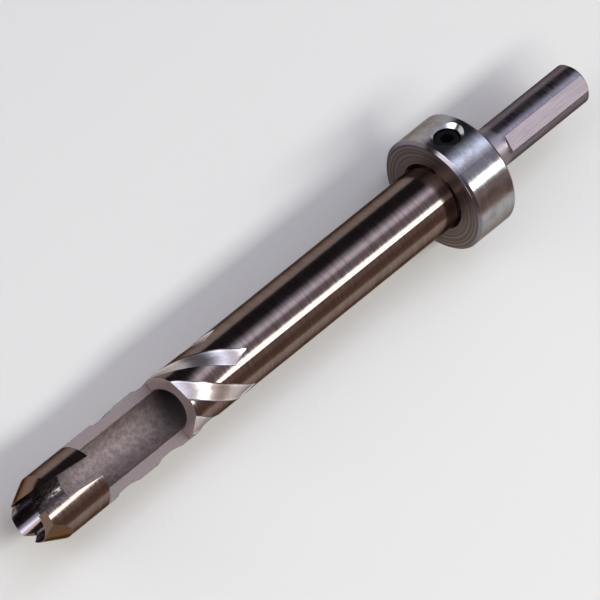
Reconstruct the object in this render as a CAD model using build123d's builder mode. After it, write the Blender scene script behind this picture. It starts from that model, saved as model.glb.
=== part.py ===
"""Barrel-type plug cutter: a one-piece steel tube cutter with a milled window,
helical chip grooves and a round shank, carrying a stop collar with a socket set screw.

Millimetres. +X runs along the tool from the cutting tip to the shank, +Z is up and
square to the window. The origin is under the middle of the tool, on the plane that
the collar touches. Angles around the tool are counted from +Z, right-handed about +X.
"""
import os
from math import atan, cos, pi, radians, sin, tan

from build123d import *

# Whole tool
overall_length = 178.2
drill_point_angle = 118.0
clearance_cut = 2.0          # how far a cutting shape runs past the surface it cuts

# Cutting head and body tube
head_d = 16.0
head_length = 17.7           # from the tip to the window's front wall
body_end = 47.0              # the tube keeps the head's diameter up to here
body_taper = 4.0             # then it runs down to the barrel over this length
land_d = 10.2                # cutting land of the bore, which sizes the plug
land_length = 6.6
relief_d = 10.6              # reamed relief behind the land
relief_end = 15.0
bore_d = 10.4                # drilled bore behind the relief
bore_depth = 58.0
lip_rise = 0.4               # how far the full-width lip falls back at the outside

# Teeth
leading_faces = (160.0, 250.0)   # where two teeth stand; the lip leads the third
notch_depth = 3.0
notch_rake = 1.2             # the leading face slants back by this over the notch's depth
notch_run = 3.05             # width of the notch at the tip, square to the leading face
bevel_length = 6.0           # outer bevel behind the scoring rim
bevel_start = 76.0           # from here the bevel turns round to the slot
bevel_turn = 254.0
bevel_lead_in = 9.0          # flat stretch of the bevel that runs off beside the lip
rim_width = 0.1

# Chip slot through the head, from the tip into the window
slot_width = 5.4
slot_offset = 0.45           # toward +Y at the window
slot_slant = 6.1             # degrees, in plan

# Window
window_rear = 44.8
window_lean = 1.5            # the rear wall leans back by this over the wall's height

# Helical chip grooves
groove_count = 5
groove_lead = 68.0
groove_width = 5.9           # square across the groove
groove_depth = 0.6
groove_tip_slope = 0.9       # straight slope on the tip side
groove_curve = 2.9           # hollow side that rises to the shank-side rim
groove_start = 19.6
groove_rim_x = 67.1          # where the shank-side rim of one groove passes angle 0
groove_end_angle = 7.6       # where that groove runs out
groove_end_slant = 17.0      # slant of the run-out across the groove

# Barrel and shank
barrel_d = 15.5
barrel_chamfer = 0.5
shank_d = 10.0
shank_chamfer = 0.7
flat_depth = 0.4
flat_angle = 20.0
flat_setback = 8.3           # from the barrel's end to the flat
flat_runout = 0.8

# Stop collar
collar_d = 28.0
collar_width = 12.0
collar_chamfer = 0.7
collar_bore_chamfer = 0.6
collar_clearance = 0.05      # radial, on the barrel
collar_front = 131.5         # from the tip, as the collar is set

# Set screw
screw_d = 6.0
screw_length = 5.0
screw_chamfer = 0.5
screw_point_d = 4.0
screw_point_length = 0.8
screw_socket_flats = 3.0
screw_socket_depth = 2.6
screw_angle = -38.0
screw_clearance = 0.05       # radial in its hole, and from its point to the barrel
screw_hole_mouth = 1.0       # countersink

# Worked out
axis_height = collar_d / 2
tip_x = -overall_length / 2
barrel_end = collar_front + collar_width
tool_origin = Vector(tip_x, 0, axis_height)
tool_axis = Axis(tool_origin, (1, 0, 0))
half_section = Plane(origin=tool_origin, x_dir=(1, 0, 0), z_dir=(0, -1, 0))
window_plan = Plane(origin=tool_origin, x_dir=(1, 0, 0), z_dir=(0, 0, 1))


def station(x, turn=0.0):
    """Plane square to the tool's axis, x from the tip, its own x turned from +Z."""
    across = (0, -sin(radians(turn)), cos(radians(turn)))
    return Plane(origin=tool_origin + Vector(x, 0, 0), x_dir=across, z_dir=(1, 0, 0))


def radial(x, angle):
    """Plane that faces outward at an angle round the tool, its own x along the tool."""
    outward = (0, -sin(radians(angle)), cos(radians(angle)))
    return Plane(origin=tool_origin + Vector(x, 0, 0), x_dir=(1, 0, 0), z_dir=outward)


def lengthwise(angle):
    """Half-section plane through the axis: its own x along the tool, y outward."""
    outward = Vector(0, -sin(radians(angle)), cos(radians(angle)))
    return Plane(origin=tool_origin, x_dir=(1, 0, 0), z_dir=Vector(1, 0, 0).cross(outward))


# One chip groove, about its own Z axis: a flat-floored channel with a slope on the tip
# side and a hollow rise to the rim on the shank side, swept along a helix. A slanting
# plane ends it.
helix_slope = atan(groove_lead / (pi * head_d))
groove_half = groove_width / 2
groove_centre_x = groove_rim_x - groove_half / cos(helix_slope)
groove_first_turn = (groove_start - groove_centre_x) * 360 / groove_lead
groove_turn = groove_end_angle - groove_first_turn
groove_climb = groove_lead * groove_turn / 360
with BuildPart() as chip_groove:
    with BuildLine() as groove_path:
        Helix(pitch=groove_lead, height=groove_climb + groove_width, radius=head_d / 2)
    path_start = groove_path.line @ 0
    with BuildSketch(Plane(origin=path_start, x_dir=(1, 0, 0), z_dir=groove_path.line % 0)):
        with BuildLine():
            rim_side = Polyline(
                (0, -groove_half),
                (clearance_cut, -groove_half),
                (clearance_cut, groove_half),
                (0, groove_half),
                (-groove_depth, groove_half - groove_tip_slope),
                (-groove_depth, groove_curve - groove_half),
            )
            TangentArc(rim_side @ 1, rim_side @ 0, tangent=(0, -1))
        make_face()
    sweep(path=groove_path.line, is_frenet=True)
    end_outward = Vector(1, 0, 0).rotate(Axis.Z, groove_turn)
    end_onward = end_outward.rotate(Axis.Z, 90)
    split(
        bisect_by=Plane(
            origin=end_outward * head_d / 2 + Vector(0, 0, groove_climb),
            z_dir=end_onward + Vector(0, 0, tan(radians(groove_end_slant))),
        ),
        keep=Keep.BOTTOM,
    )

# The ring that the grinder takes off to bevel three of the teeth. It turns round the
# tool and leaves the full-width lip on a flat.
bevel_rise = (head_d - land_d) / 2 - rim_width
bevel_over = clearance_cut * bevel_rise / bevel_length
with BuildPart() as bevel_ring:
    with BuildSketch(lengthwise(bevel_start)) as bevel_profile:
        with BuildLine():
            Polyline(
                (-clearance_cut, land_d / 2 + rim_width - bevel_over),
                (bevel_length + clearance_cut, head_d / 2 + bevel_over),
                (-clearance_cut, head_d / 2 + bevel_over),
                close=True,
            )
        make_face()
    revolve(axis=tool_axis, revolution_arc=bevel_turn)
    extrude(bevel_profile.sketch, amount=-bevel_lead_in)

with BuildPart() as cutter_body:
    # Turned blank: head, tube, barrel and shank, with its seam under the shank's flat
    with BuildSketch(lengthwise(flat_angle)):
        with BuildLine():
            Polyline(
                (0, 0),
                (0, land_d / 2 + rim_width),
                (lip_rise, head_d / 2),
                (body_end, head_d / 2),
                (body_end + body_taper, barrel_d / 2),
                (barrel_end - barrel_chamfer, barrel_d / 2),
                (barrel_end, barrel_d / 2 - barrel_chamfer),
                (barrel_end, shank_d / 2),
                (overall_length - shank_chamfer, shank_d / 2),
                (overall_length, shank_d / 2 - shank_chamfer),
                (overall_length, 0),
                close=True,
            )
        make_face()
    revolve(axis=tool_axis)

    # Chip grooves round the tube
    with Locations(station(groove_start, groove_first_turn)):
        with PolarLocations(0, groove_count):
            add(chip_groove.part, mode=Mode.SUBTRACT)

    # Window, down to the middle of the tube
    window_top = head_d / 2 + clearance_cut
    with BuildSketch(half_section):
        with BuildLine():
            Polyline(
                (head_length, 0),
                (window_rear, 0),
                (window_rear + window_lean * window_top / (head_d / 2), window_top),
                (head_length, window_top),
                close=True,
            )
        make_face()
    extrude(amount=window_top, both=True, mode=Mode.SUBTRACT)

    # Bore: land, relief and drilled end
    with BuildSketch(half_section):
        with BuildLine():
            Polyline(
                (-clearance_cut, 0),
                (-clearance_cut, land_d / 2),
                (land_length, land_d / 2),
                (land_length, relief_d / 2),
                (relief_end, relief_d / 2),
                (relief_end, bore_d / 2),
                (bore_depth, bore_d / 2),
                (bore_depth + bore_d / 2 / tan(radians(drill_point_angle / 2)), 0),
                close=True,
            )
        make_face()
    revolve(axis=tool_axis, mode=Mode.SUBTRACT)

    # Chip slot through the head
    with BuildSketch(window_plan):
        with Locations((head_length, slot_offset)):
            Rectangle(2 * (head_length + clearance_cut), slot_width, rotation=-slot_slant)
    extrude(amount=window_top, mode=Mode.SUBTRACT)

    # Notches, each with a raked leading face and a longer back slope
    notch_over = clearance_cut / notch_depth
    for leading_face in leading_faces:
        with BuildSketch(radial(0, leading_face)):
            with BuildLine():
                Polyline(
                    (-clearance_cut, -notch_rake * notch_over),
                    (notch_depth, notch_rake),
                    (-clearance_cut, notch_run + (notch_run - notch_rake) * notch_over),
                    close=True,
                )
            make_face()
        extrude(amount=window_top, mode=Mode.SUBTRACT)
    add(bevel_ring.part, mode=Mode.SUBTRACT)

    # Flat on the shank
    flat_start = barrel_end + flat_setback
    flat_level = shank_d / 2 - flat_depth
    with BuildSketch(lengthwise(flat_angle)):
        with BuildLine():
            Polyline(
                (flat_start, shank_d / 2),
                (flat_start + flat_runout, flat_level),
                (overall_length + clearance_cut, flat_level),
                (overall_length + clearance_cut, shank_d / 2 + clearance_cut),
                (flat_start, shank_d / 2 + clearance_cut),
                close=True,
            )
        make_face()
    extrude(amount=shank_d / 2, both=True, mode=Mode.SUBTRACT)

# Stop collar, bored to slide on the barrel and cross-drilled for its set screw
collar_bore_r = barrel_d / 2 + collar_clearance
collar_middle = collar_front + collar_width / 2
with BuildPart() as stop_collar:
    with BuildSketch(station(collar_front)):
        Circle(collar_d / 2)
        Circle(collar_bore_r, mode=Mode.SUBTRACT)
    extrude(amount=collar_width)
    collar_rims = edges().filter_by(GeomType.CIRCLE).group_by(SortBy.RADIUS)
    chamfer(collar_rims[-1], collar_chamfer)
    chamfer(collar_rims[0], collar_bore_chamfer)
    with Locations(radial(collar_middle, screw_angle).offset(collar_d / 2)):
        CounterSinkHole(
            radius=screw_d / 2 + screw_clearance,
            counter_sink_radius=screw_d / 2 + screw_clearance + screw_hole_mouth,
            depth=collar_d / 2,
            counter_sink_angle=90,
        )

# Set screw: flat point on the barrel, hexagon socket outside
screw_seat = barrel_d / 2 + screw_clearance
screw_plane = radial(collar_middle, screw_angle)
with BuildPart() as set_screw:
    with BuildSketch(screw_plane.offset(screw_seat)):
        Circle(screw_d / 2)
    extrude(amount=screw_length)
    rims = edges().filter_by(GeomType.CIRCLE)
    screw_line = Axis(screw_plane.origin, screw_plane.z_dir)
    point_rim = rims.sort_by(screw_line)[0]
    top_rim = rims.sort_by(screw_line)[-1]
    point_cut = (screw_d - screw_point_d) / 2
    chamfer(point_rim, screw_point_length, point_cut)
    chamfer(top_rim, screw_chamfer)
    with BuildSketch(screw_plane.offset(screw_seat + screw_length)):
        RegularPolygon(screw_socket_flats / 2, 6, major_radius=False)
    extrude(amount=-screw_socket_depth, mode=Mode.SUBTRACT)

os.makedirs("parts", exist_ok=True)
for name, piece in (
    ("cutter_body", cutter_body),
    ("stop_collar", stop_collar),
    ("set_screw", set_screw),
):
    piece.part.label = name
    export_step(piece.part, f"parts/{name}.step")
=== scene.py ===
"""Studio scene for the plug cutter: steel finishes, lamps, floor and camera.

Metres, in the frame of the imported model: +X along the tool from tip to shank, +Z up.
Material masks work in millimetres from the tip (x) and from the tool's axis (radius).
"""
from math import cos, pi, radians, sin

import bpy
from mathutils import Matrix, Vector


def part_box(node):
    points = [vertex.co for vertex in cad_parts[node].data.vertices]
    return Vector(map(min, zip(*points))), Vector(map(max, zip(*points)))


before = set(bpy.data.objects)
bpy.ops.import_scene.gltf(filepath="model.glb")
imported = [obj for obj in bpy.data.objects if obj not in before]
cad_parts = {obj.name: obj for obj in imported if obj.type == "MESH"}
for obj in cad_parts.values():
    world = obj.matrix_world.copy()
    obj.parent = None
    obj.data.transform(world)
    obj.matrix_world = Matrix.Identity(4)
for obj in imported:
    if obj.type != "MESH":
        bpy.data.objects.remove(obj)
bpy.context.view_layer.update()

MM = 0.001

# The tool's axis, read from the frame
body_low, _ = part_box("cutter_body")
collar_low, collar_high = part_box("stop_collar")
TIP_X = body_low[0]
AXIS_Z = (collar_low[2] + collar_high[2]) / 2

# The photograph's view: a long lens, in the vertical plane of the tool's axis
IMAGE_PX = 600
PX_PER_M = 4610.0
VIEW_TILT = radians(31.4)          # of the tool's axis out of the picture plane
AXIS_RISE = radians(38.88)         # of the tool in the picture
AIM_FROM_TIP = 89.47 * MM          # this point of the axis lies AIM_OFFSET_PX off the centre
AIM_OFFSET_PX = (4.2, -0.2)        # right, down
LENS_MM = 1600.0
SENSOR_MM = 36.0

# Places along the tool, in millimetres from the tip
BEVEL_END = 6.0
LAND_END = 6.6
RELIEF_END = 15.0
WINDOW_START = 17.7
WINDOW_END = 44.8
TAPER_START = 47.0
TAPER_LENGTH = 4.0
BORE_END = 61.5                    # just past the point of the drilled bore
GROOVES_END = 65.75                # on the barrel
COLLAR_FRONT = 131.5
SCREW_HOLE = 137.5                 # middle of the collar
SHANK_START = 143.5
GRIP_START = 151.5                 # chuck marks from about here to the end
FLAT_START = 151.8

# Radii in millimetres
LAND_R = 5.1
BORE_R = 5.2
RELIEF_R = 5.3
HEAD_R = 8.0
TAPER_DROP = 0.25                  # from the head to the barrel
COLLAR_R = 14.0

# The shank's flat: how far it is from the axis, and where it faces, from +Z towards -Y
FLAT_LEVEL = 4.6
FLAT_TURN = radians(20.0)

# Half of the floor's side, in metres
FLOOR_HALF = 6.0


def photo_camera():
    """Camera at the photograph's angle, rolled so that the tool rises to the right."""
    back = Vector((-sin(VIEW_TILT), 0, cos(VIEW_TILT)))
    along = Vector((cos(VIEW_TILT), 0, sin(VIEW_TILT)))
    down_right = Vector((0, -1, 0))
    right = cos(AXIS_RISE) * along + sin(AXIS_RISE) * down_right
    up = sin(AXIS_RISE) * along - cos(AXIS_RISE) * down_right
    aim = Vector((TIP_X + AIM_FROM_TIP, 0, AXIS_Z))
    aim = aim - (AIM_OFFSET_PX[0] * right - AIM_OFFSET_PX[1] * up) / PX_PER_M
    distance = IMAGE_PX / PX_PER_M * LENS_MM / SENSOR_MM
    data = bpy.data.cameras.new("photo_camera")
    data.lens = LENS_MM
    data.sensor_width = SENSOR_MM
    data.clip_start = 0.1
    data.clip_end = 4 * distance
    camera = bpy.data.objects.new("photo_camera", data)
    turn = Matrix((right, up, back)).transposed().to_4x4()
    camera.matrix_world = Matrix.Translation(aim + back * distance) @ turn
    bpy.context.scene.collection.objects.link(camera)
    bpy.context.scene.camera = camera


# Light

def soft_box(name, turn_deg, reach, ahead, width, length, power, colour):
    """Soft lamp that faces the tool's axis, turned about it from +Z towards -Y."""
    turn = radians(turn_deg)
    centre = Vector((ahead, -reach * sin(turn), AXIS_Z + reach * cos(turn)))
    data = bpy.data.lights.new(name, "AREA")
    data.shape = "RECTANGLE"
    data.size = length
    data.size_y = width
    data.energy = power
    data.color = colour
    lamp = bpy.data.objects.new(name, data)
    inward = Vector((0, sin(turn), -cos(turn)))
    along = Vector((1, 0, 0))
    lamp.matrix_world = Matrix.Translation(centre) @ Matrix(
        (along, (-inward).cross(along), -inward)).transposed().to_4x4()
    bpy.context.scene.collection.objects.link(lamp)


soft_box("key_strip", turn_deg=31.0, reach=0.60, ahead=0.25,
         width=0.13, length=1.0, power=3.1, colour=(0.93, 0.985, 1.0))
soft_box("fill", turn_deg=-42.0, reach=0.70, ahead=-0.80,
         width=0.6, length=0.5, power=3.6, colour=(1.0, 0.985, 0.97))


def ramp_node(tree, stops, factor):
    """Colour ramp that is linear between its (position, colour) stops."""
    node = tree.nodes.new("ShaderNodeValToRGB")
    elements = node.color_ramp.elements
    elements[0].position, elements[1].position = stops[0][0], stops[-1][0]
    for position, _ in stops[1:-1]:
        elements.new(position)
    for element, (_, colour) in zip(elements, stops):
        element.color = (*colour, 1.0)
    tree.links.new(factor, node.inputs[0])
    return node.outputs[0]


class Nodes:
    """Short hand for building node trees out of numbers and sockets."""

    def __init__(self, tree):
        self.tree = tree

    def put(self, socket, value):
        if isinstance(value, bpy.types.NodeSocket):
            self.tree.links.new(value, socket)
        else:
            socket.default_value = value

    def math(self, operation, *values, clamp=False):
        node = self.tree.nodes.new("ShaderNodeMath")
        node.operation = operation
        node.use_clamp = clamp
        for socket, value in zip(node.inputs, values):
            self.put(socket, value)
        return node.outputs[0]

    def add(self, a, b):
        return self.math("ADD", a, b)

    def sub(self, a, b):
        return self.math("SUBTRACT", a, b)

    def mul(self, a, b, clamp=False):
        return self.math("MULTIPLY", a, b, clamp=clamp)

    def step(self, value, start, end, low=0.0, high=1.0):
        """low before start, high after end, and a smooth change between them."""
        node = self.tree.nodes.new("ShaderNodeMapRange")
        node.interpolation_type = "SMOOTHSTEP"
        for socket, item in zip(node.inputs, (value, start, end, low, high)):
            self.put(socket, item)
        return node.outputs[0]

    def fall(self, value, start, end):
        """1 before start, 0 after end, and a smooth fall between them."""
        return self.step(value, start, end, 1.0, 0.0)

    def between(self, value, low, high, soft):
        """1 between low and high, fading over soft outside them."""
        return self.mul(self.step(value, low - soft, low), self.fall(value, high, high + soft))

    def vector(self, x, y, z):
        node = self.tree.nodes.new("ShaderNodeCombineXYZ")
        for socket, value in zip(node.inputs, (x, y, z)):
            self.put(socket, value)
        return node.outputs[0]

    def noise(self, vector, scale, detail=3.0, roughness=0.5):
        node = self.tree.nodes.new("ShaderNodeTexNoise")
        self.put(node.inputs["Vector"], vector)
        node.inputs["Scale"].default_value = scale
        node.inputs["Detail"].default_value = detail
        node.inputs["Roughness"].default_value = roughness
        return node.outputs[0]

    def mix(self, factor, a, b):
        """Colours a and b, by factor."""
        node = self.tree.nodes.new("ShaderNodeMix")
        node.data_type = "RGBA"
        node.clamp_factor = True
        self.put(node.inputs[0], factor)
        for socket, value in ((node.inputs[6], a), (node.inputs[7], b)):
            self.put(socket, value if isinstance(value, bpy.types.NodeSocket) else (*value, 1.0))
        return node.outputs[2]

    def blend(self, factor, a, b):
        """Numbers a and b, by factor."""
        node = self.tree.nodes.new("ShaderNodeMix")
        node.data_type = "FLOAT"
        node.clamp_factor = True
        for socket, value in zip((node.inputs[0], node.inputs[2], node.inputs[3]), (factor, a, b)):
            self.put(socket, value)
        return node.outputs[0]


# Round the tool the light changes with the angle about its axis, -180 to 180 degrees
world = bpy.data.worlds.new("studio")
bpy.context.scene.world = world
world.use_nodes = True
sky = Nodes(world.node_tree)
facing = world.node_tree.nodes.new("ShaderNodeTexCoord").outputs["Generated"]
sky_axes = world.node_tree.nodes.new("ShaderNodeSeparateXYZ")
world.node_tree.links.new(facing, sky_axes.inputs[0])
sky_turn = sky.math("ARCTAN2", sky.mul(sky_axes.outputs["Y"], -1.0), sky_axes.outputs["Z"])
sky_part = sky.math("MULTIPLY_ADD", sky_turn, 0.5 / pi, 0.5)


def at(degrees):
    """Place on the sky's ramp of an angle about the tool's axis, from +Z towards -Y."""
    return 0.5 + degrees / 360


sky_colour = ramp_node(world.node_tree, [
    (0.0, (0.03, 0.03, 0.035)),
    (at(-46), (0.03, 0.03, 0.04)),
    (at(-39), (0.24, 0.24, 0.30)),
    (at(-29), (0.74, 0.82, 1.03)),
    (at(-21), (1.58, 1.72, 2.15)),
    (at(-13), (1.46, 1.50, 1.90)),
    (at(-3), (0.42, 0.38, 0.46)),
    (at(12), (0.32, 0.31, 0.40)),
    (at(42), (0.20, 0.14, 0.125)),
    (at(54), (0.34, 0.24, 0.22)),
    (at(62), (0.20, 0.14, 0.13)),
    (at(82), (0.26, 0.165, 0.13)),
    (at(88), (0.45, 0.31, 0.24)),
    (1.0, (0.3, 0.25, 0.22)),
], sky_part)
background = next(n for n in world.node_tree.nodes if n.type == "BACKGROUND")
world.node_tree.links.new(sky_colour, background.inputs["Color"])
background.inputs["Strength"].default_value = 1.0


# Materials

def metal(name, colour=(0.5, 0.5, 0.5), roughness=0.25, metallic=1.0, edge=(1.0, 1.0, 1.0)):
    """New material: its node helper and its Principled shader; edge tints grazing reflections."""
    material = bpy.data.materials.new(name)
    material.use_nodes = True
    nodes = Nodes(material.node_tree)
    shader = next(n for n in material.node_tree.nodes if n.type == "BSDF_PRINCIPLED")
    shader.inputs["Base Color"].default_value = (*colour, 1.0)
    shader.inputs["Metallic"].default_value = metallic
    shader.inputs["Roughness"].default_value = roughness
    shader.inputs["Specular Tint"].default_value = (*edge, 1.0)
    return material, nodes, shader


def tool_coordinates(nodes):
    """Millimetres from the tip, across (y), up from the axis, and the radius from it."""
    tree = nodes.tree
    place = tree.nodes.new("ShaderNodeTexCoord").outputs["Object"]
    axes = tree.nodes.new("ShaderNodeSeparateXYZ")
    tree.links.new(place, axes.inputs[0])
    x = nodes.mul(nodes.sub(axes.outputs[0], TIP_X), 1 / MM)
    y = nodes.mul(axes.outputs[1], 1 / MM)
    z = nodes.mul(nodes.sub(axes.outputs[2], AXIS_Z), 1 / MM)
    radius = nodes.math("SQRT", nodes.add(nodes.mul(y, y), nodes.mul(z, z)))
    return x, y, z, radius


def bump(nodes, shader, height, distance, strength):
    """Bump the shader's surface by a height map; distance is in metres."""
    node = nodes.tree.nodes.new("ShaderNodeBump")
    node.inputs["Strength"].default_value = strength
    node.inputs["Distance"].default_value = distance
    nodes.put(node.inputs["Height"], height)
    nodes.tree.links.new(node.outputs[0], shader.inputs["Normal"])


def cutter_steel():
    """Ground and polished outside, satin where it is milled, matt inside the bore."""
    material, n, shader = metal("cutter_steel", edge=(0.24, 0.21, 0.195))
    x, y, z, radius = tool_coordinates(n)

    # Where each finish lies, and where shade and a highlight are painted
    land = n.fall(radius, LAND_R + 0.04, LAND_R + 0.08)
    land = n.mul(land, n.fall(x, LAND_END - 0.05, LAND_END + 0.05))
    relief = n.fall(x, RELIEF_END - 0.1, RELIEF_END + 0.1)
    bore = n.fall(radius, RELIEF_R + 0.04, RELIEF_R + 0.10)
    bore = n.mul(bore, n.between(x, LAND_END, BORE_END, 0.1))
    # Painted shade: the bore darkens past the window's end, where the barrel's roof shades it
    painted_shade_under_roof = n.step(x, WINDOW_END - 3.3, WINDOW_END + 5.2)
    window_flat = n.between(z, -0.06, 0.06, 0.03)
    window_flat = n.mul(window_flat, n.between(x, WINDOW_START - 0.1, WINDOW_END + 0.4, 0.05))
    window_flat = n.mul(window_flat, n.step(radius, BORE_R - 0.1, BORE_R))
    bevel = n.fall(radius, HEAD_R - 0.14, HEAD_R - 0.06)
    bevel = n.mul(bevel, n.fall(x, BEVEL_END - 0.1, BEVEL_END + 0.1))
    tapered = n.mul(n.sub(x, TAPER_START), 1 / TAPER_LENGTH, clamp=True)
    depth = n.sub(n.sub(HEAD_R, n.mul(tapered, TAPER_DROP)), radius)
    below_skin = n.mul(n.step(depth, 0.05, 0.12), n.step(x, WINDOW_START - 0.3, WINDOW_START + 0.2))
    below_skin = n.mul(below_skin, n.fall(x, GROOVES_END + 0.75, GROOVES_END + 1.35))
    # Painted highlight: a thin band at the top of the grooves' walls
    painted_rim_highlight = n.mul(below_skin, n.fall(depth, 0.16, 0.26))
    shank = n.step(x, SHANK_START - 0.1, SHANK_START + 0.1)
    gripped = n.step(x, GRIP_START - 1.0, GRIP_START + 1.0)
    flat_level = n.sub(n.mul(z, cos(FLAT_TURN)), n.mul(y, sin(FLAT_TURN)))
    shank_flat = n.between(flat_level, FLAT_LEVEL - 0.04, FLAT_LEVEL + 0.04, 0.03)
    shank_flat = n.mul(shank_flat, n.step(x, FLAT_START - 0.3, FLAT_START + 0.2))

    # Grind lines run round the tool, with slow changes of tone along it
    rings = n.noise(n.vector(x, n.mul(y, 0.05), n.mul(z, 0.05)), scale=3.4, detail=5.0, roughness=0.72)
    broad = n.noise(n.vector(n.mul(x, 0.5), n.mul(y, 0.09), n.mul(z, 0.09)), scale=0.5, detail=2.0)
    grain = n.noise(n.vector(x, y, z), scale=3.2, detail=4.0, roughness=0.6)
    blotch = n.noise(n.vector(x, y, z), scale=0.75, detail=5.0, roughness=0.68)
    lines = n.noise(n.vector(n.mul(x, 0.03), y, z), scale=5.0, detail=4.0, roughness=0.7)
    streaks = n.noise(n.vector(n.mul(x, 0.3), y, z), scale=2.0, detail=3.0, roughness=0.6)
    scratches = n.vector(x, n.mul(y, 0.1), n.mul(z, 0.1))
    scratches = n.noise(scratches, scale=1.3, detail=4.0, roughness=0.75)

    skin = n.mix(n.step(rings, 0.34, 0.66), (0.19, 0.145, 0.127), (0.29, 0.224, 0.198))
    skin = n.mix(n.mul(n.step(broad, 0.45, 0.7), 0.35), skin, (0.19, 0.136, 0.114))
    skin = n.mix(bevel, skin, (0.22, 0.148, 0.108))
    ground = n.mix(n.step(lines, 0.3, 0.7), (0.18, 0.156, 0.168), (0.265, 0.231, 0.248))
    flat_tone = n.mix(n.step(lines, 0.3, 0.7), (0.165, 0.14, 0.155), (0.235, 0.20, 0.218))
    ground = n.mix(gripped, (0.37, 0.325, 0.345), ground)
    milled = n.mix(n.step(grain, 0.3, 0.7), (0.61, 0.54, 0.515), (0.78, 0.71, 0.68))
    sawn = n.mix(n.step(grain, 0.25, 0.75), (0.25, 0.20, 0.185), (0.345, 0.285, 0.265))
    inside = n.mix(n.step(blotch, 0.3, 0.7), (0.215, 0.166, 0.155), (0.38, 0.308, 0.292))
    # Painted shade in the bore under the barrel's roof, past the window
    inside = n.mix(painted_shade_under_roof, inside, (0.11, 0.088, 0.082))
    reamed = n.mix(n.step(blotch, 0.35, 0.65), (0.085, 0.07, 0.07), (0.15, 0.125, 0.125))
    colour = n.mix(shank, skin, n.mix(shank_flat, ground, flat_tone))
    colour = n.mix(below_skin, colour, milled)
    # Painted highlight: the grooves' rims are painted near-white
    colour = n.mix(painted_rim_highlight, colour, (0.92, 0.88, 0.86))
    colour = n.mix(window_flat, colour, sawn)
    colour = n.mix(bore, colour, n.mix(relief, inside, reamed))
    colour = n.mix(land, colour, (0.54, 0.51, 0.52))
    n.put(shader.inputs["Base Color"], colour)

    rough = n.blend(n.step(rings, 0.3, 0.7), 0.13, 0.20)
    gripped_rough = n.blend(n.step(scratches, 0.5, 0.62), 0.33, 0.20)
    rough = n.blend(shank, rough, n.blend(gripped, 0.5, gripped_rough))
    rough = n.blend(shank_flat, rough, 0.30)
    rough = n.blend(below_skin, rough, 0.33)
    rough = n.blend(window_flat, rough, 0.45)
    reamed_rough = n.blend(n.step(streaks, 0.46, 0.51), 0.50, 0.15)
    rough = n.blend(bore, rough, n.blend(relief, 0.66, reamed_rough))
    rough = n.blend(land, rough, 0.14)
    n.put(shader.inputs["Roughness"], rough)
    n.put(shader.inputs["Metallic"], n.blend(bore, 1.0, n.blend(relief, 0.55, 0.9)))

    height = n.blend(n.math("MAXIMUM", bore, window_flat), n.mul(rings, 0.18), grain)
    height = n.mul(height, n.blend(land, 1.0, 0.1))
    height = n.blend(shank, height, n.mul(scratches, 0.8))
    height = n.blend(shank_flat, height, n.mul(lines, 0.3))
    bump(n, shader, height, distance=0.05 * MM, strength=0.5)
    return material


def collar_steel():
    """Turned bright steel, with rings on its faces and fine lines round its rim."""
    material, n, shader = metal("collar_steel", edge=(0.45, 0.37, 0.33))
    x, y, z, radius = tool_coordinates(n)

    # The front face, the chamfered edges, and among those the mouth of the screw's hole
    front = n.fall(x, COLLAR_FRONT + 0.02, COLLAR_FRONT + 0.06)
    chamfers = n.step(radius, COLLAR_R - 1.0, COLLAR_R - 0.8)
    chamfers = n.mul(chamfers, n.fall(radius, COLLAR_R - 0.08, COLLAR_R - 0.02))
    hole_mouth = n.between(x, SCREW_HOLE - 4.5, SCREW_HOLE + 4.5, 0.2)

    face_rings = n.vector(radius, 0.0, n.mul(x, 0.1))
    face_rings = n.noise(face_rings, scale=2.2, detail=5.0, roughness=0.75)
    rim_lines = n.vector(x, n.mul(y, 0.02), n.mul(z, 0.02))
    rim_lines = n.noise(rim_lines, scale=4.0, detail=4.0, roughness=0.7)
    cloud = n.noise(n.vector(x, y, z), scale=0.35, detail=4.0, roughness=0.6)

    rim = n.mix(n.step(rim_lines, 0.3, 0.7), (0.36, 0.36, 0.37), (0.46, 0.46, 0.472))
    rim = n.mix(n.mul(n.step(cloud, 0.42, 0.66), 0.6), rim, (0.26, 0.235, 0.23))
    face = n.mix(n.step(face_rings, 0.36, 0.64), (0.12, 0.098, 0.088), (0.30, 0.25, 0.23))
    colour = n.mix(front, rim, face)
    colour = n.mix(chamfers, colour, n.mix(hole_mouth, (0.22, 0.20, 0.225), (0.68, 0.66, 0.66)))
    n.put(shader.inputs["Base Color"], colour)
    rim_rough = n.blend(n.step(rim_lines, 0.3, 0.7), 0.14, 0.20)
    n.put(shader.inputs["Roughness"], n.blend(front, rim_rough, 0.34))
    height = n.blend(front, n.mul(rim_lines, 0.12), face_rings)
    bump(n, shader, height, distance=0.16 * MM, strength=0.7)
    return material


def screw_steel():
    """Black oxide."""
    material, n, shader = metal("screw_steel", roughness=0.42, metallic=0.85)
    place = n.tree.nodes.new("ShaderNodeTexCoord").outputs["Object"]
    grain = n.noise(place, scale=1.8 / MM)
    n.put(shader.inputs["Base Color"], n.mix(grain, (0.012, 0.012, 0.014), (0.035, 0.033, 0.036)))
    bump(n, shader, grain, distance=0.02 * MM, strength=0.4)
    return material


for node_name, material in (
    ("cutter_body", cutter_steel()),
    ("stop_collar", collar_steel()),
    ("set_screw", screw_steel()),
):
    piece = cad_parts[node_name]
    for slot in piece.material_slots:
        slot.material = material


# Floor and camera

floor_mesh = bpy.data.meshes.new("floor")
floor_mesh.from_pydata(
    [(-FLOOR_HALF, -FLOOR_HALF, 0), (FLOOR_HALF, -FLOOR_HALF, 0),
     (FLOOR_HALF, FLOOR_HALF, 0), (-FLOOR_HALF, FLOOR_HALF, 0)],
    [], [(0, 1, 2, 3)])
floor = bpy.data.objects.new("floor", floor_mesh)
floor_paint, _, _ = metal("floor_paint", (0.79, 0.77, 0.705), roughness=0.8, metallic=0.0)
floor_mesh.materials.append(floor_paint)
bpy.context.scene.collection.objects.link(floor)

photo_camera()

bpy.context.scene.view_settings.view_transform = "Standard"
